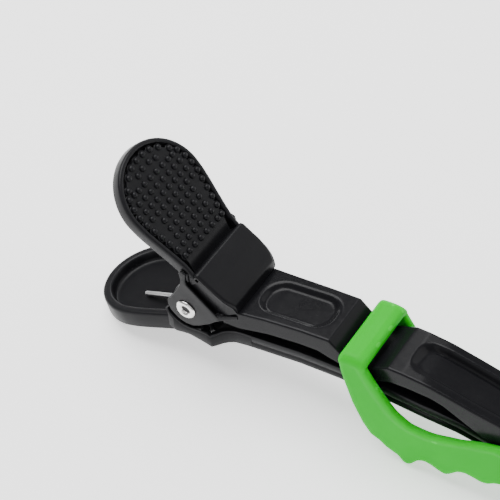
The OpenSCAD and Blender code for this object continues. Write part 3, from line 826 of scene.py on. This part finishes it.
wprof = [[34, 8.8], [50, 8.8], [68, 7.7], [80, 7.2], [86, 7.0]]
BD = Builder()
for sg in (-1, 1):
    rings = []
    for o, i in zip(OUT, INN):
        d = i - o
        ln = np.linalg.norm(d)
        d /= ln
        sec = [(0.0, 0.55), (0.12, 0.22), (0.45, 0.04), (0.9, 0.0), (ln * 0.3, 0.05), (ln * 0.55, 0.10), (ln - 2.3, 0.12), (ln - 1.7, 0.0), (ln - 0.7, -0.02), (ln - 0.28, 0.12), (ln - 0.05, 0.45),
               (ln, 0.85), (ln - 0.1, 1.3), (ln - 0.4, 1.6), (ln - 0.9, 1.7), (ln * 0.5, 1.7), (0.9, 1.7), (0.4, 1.62), (0.1, 1.3), (0.0, 0.9)]
        pts_ = []
        for q, dy in sec:
            p = o + d * min(max(q, 0), ln)
            w = interp([p[0]], wprof)[0]
            pts_.append([p[0], sg * (w - dy), p[1]])
        rings.append(pts_)
    BD.loft(rings)
# rear bar, rounded down into the ribbons
bar = [[34.72, 2.6], [34.62, 3.9], [35.3, 4.72], [36.9, 4.98], [38.6, 4.98], [39.9, 4.66], [40.5, 3.9], [40.62, 2.9], [38.5, 2.75], [36.0, 2.75]]
bar = resample(fillet(bar, 0.6, closed=True, n=5), step=0.3, closed=True)
rings = []
for y in np.concatenate([np.linspace(-8.78, -7.0, 12), np.linspace(-6.6, 6.6, 24), np.linspace(7.0, 8.78, 12)]):
    k = max(0.0, (abs(y) - 7.0) / 1.8)
    dropz = 1.9 * (1 - math.sqrt(max(0, 1 - k * k)))
    c = np.array([37.6, 2.9])
    R = bar.copy()
    R[:, 1] = np.maximum(R[:, 1] - dropz * np.clip((R[:, 1] - 2.7) / 2.2, 0, 1), 2.0)
    sag = -0.12 * (1 - (y / 8.8) ** 2)
    rings.append(np.stack([R[:, 0], np.full(len(R), y), R[:, 1] + sag], 1))
BD.loft(rings)
# front loop under the lower jaw's nose
fb = [[79.6, -14.75], [79.4, -14.2], [80.0, -13.78], [83.6, -13.75], [85.0, -13.7], [85.2, -14.3], [84.6, -14.8]]
fb = resample(fillet(fb, 0.3, closed=True, n=4), step=0.3, closed=True)
rings = []
for y in np.linspace(-7.0, 7.0, 30):
    rings.append(np.stack([fb[:, 0], np.full(len(fb), y), fb[:, 1]], 1))
BD.loft(rings)
band = BD.mesh("silicone_band_soft")
finish_shape(band, voxel=0.24, smooth=7, factor=0.5)
put(band, MAT_BAND)
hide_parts("silicone_band")
b_up, b_low = to_row([38.5, 0, 0.0])[0], to_row([43.0, 0, -9.0])[0]
tuple(b_low)
tuple(b_up)
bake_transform(band)

# ---------------------------------------------------------------- floor, light and camera
bpy.ops.mesh.primitive_plane_add(size=3.0, location=(0, 0, -0.0005))
floor = bpy.context.object
floor.name = "floor"
fm, fnt, fb_ = new_mat("floor_white")
fb_.inputs["Base Color"].default_value = (0.93, 0.93, 0.93, 1)
fb_.inputs["Roughness"].default_value = 0.95
fb_.inputs["Specular IOR Level"].default_value = 0.0
fb_.inputs["Emission Color"].default_value = (1.0, 1.0, 1.0, 1)
fb_.inputs["Emission Strength"].default_value = 0.95
floor.data.materials.append(fm)

world = bpy.data.worlds.new("studio")
bpy.context.scene.world = world
world.use_nodes = True
bg = world.node_tree.nodes["Background"]
bg.inputs["Color"].default_value = (1.0, 1.0, 1.0, 1)
bg.inputs["Strength"].default_value = 0.40


def area(name, loc, target, size, power, size_y=None):
    l = bpy.data.lights.new(name, "AREA")
    l.energy = power
    l.size = size
    if size_y:
        l.shape = "RECTANGLE"
        l.size_y = size_y
    o = bpy.data.objects.new(name, l)
    bpy.context.scene.collection.objects.link(o)
    o.location = loc
    d = Vector(target) - Vector(loc)
    o.rotation_euler = d.to_track_quat("-Z", "Y").to_euler()
    return o


area("key", (-0.30, 0.06, 0.66), (0.0, 0.0, 0.02), 0.60, 9.0)
area("fill", (0.20, -0.62, 0.34), (0.0, 0.0, 0.02), 0.55, 0.7)
area("strip", (-0.30, 0.62, 0.42), (0.0, 0.0, 0.02), 0.10, 1.6, size_y=0.9)
area("back", (0.46, 0.46, 0.34), (0.0, 0.0, 0.02), 0.80, 2.6)

# camera: its axes in the drawing frame, at the distance that gives 5 px per mm at the rivet
F = 1690.0
Yd = np.array([0.530, 0.635, -0.562]); Yd /= np.linalg.norm(Yd)
tz = -(Yd[0] - 0.40 * Yd[1]) / Yd[2]
Xd = np.array([1, -0.40, tz]); Xd /= np.linalg.norm(Xd)
Zd = np.cross(Xd, Yd)
Rc = np.stack([Xd, Yd, Zd], 1)                 # drawing axes seen from the camera
D = 338.0
c = np.array([(185.3 - 250) / F * D, -(310.0 - 250) / F * D, -D])
Tc = c - Rc @ np.array([0, -9.6, 0.0])
cam_pos = -Rc.T @ Tc
cam_axes = RT @ Rc.T                           # columns: camera right, up, back in the row frame
cam_data = bpy.data.cameras.new("camera")
cam_data.sensor_width = 36.0
cam_data.lens = F / 500.0 * 36.0
cam_data.clip_start = 0.01
cam_data.clip_end = 20.0
cam = bpy.data.objects.new("camera", cam_data)
bpy.context.scene.collection.objects.link(cam)
M = Matrix.Identity(4)
for r_ in range(3):
    for k_ in range(3):
        M[r_][k_] = float(cam_axes[r_, k_])
loc = to_row(cam_pos)[0]
for r_ in range(3):
    M[r_][3] = float(loc[r_])
cam.matrix_world = M
bpy.context.scene.camera = cam
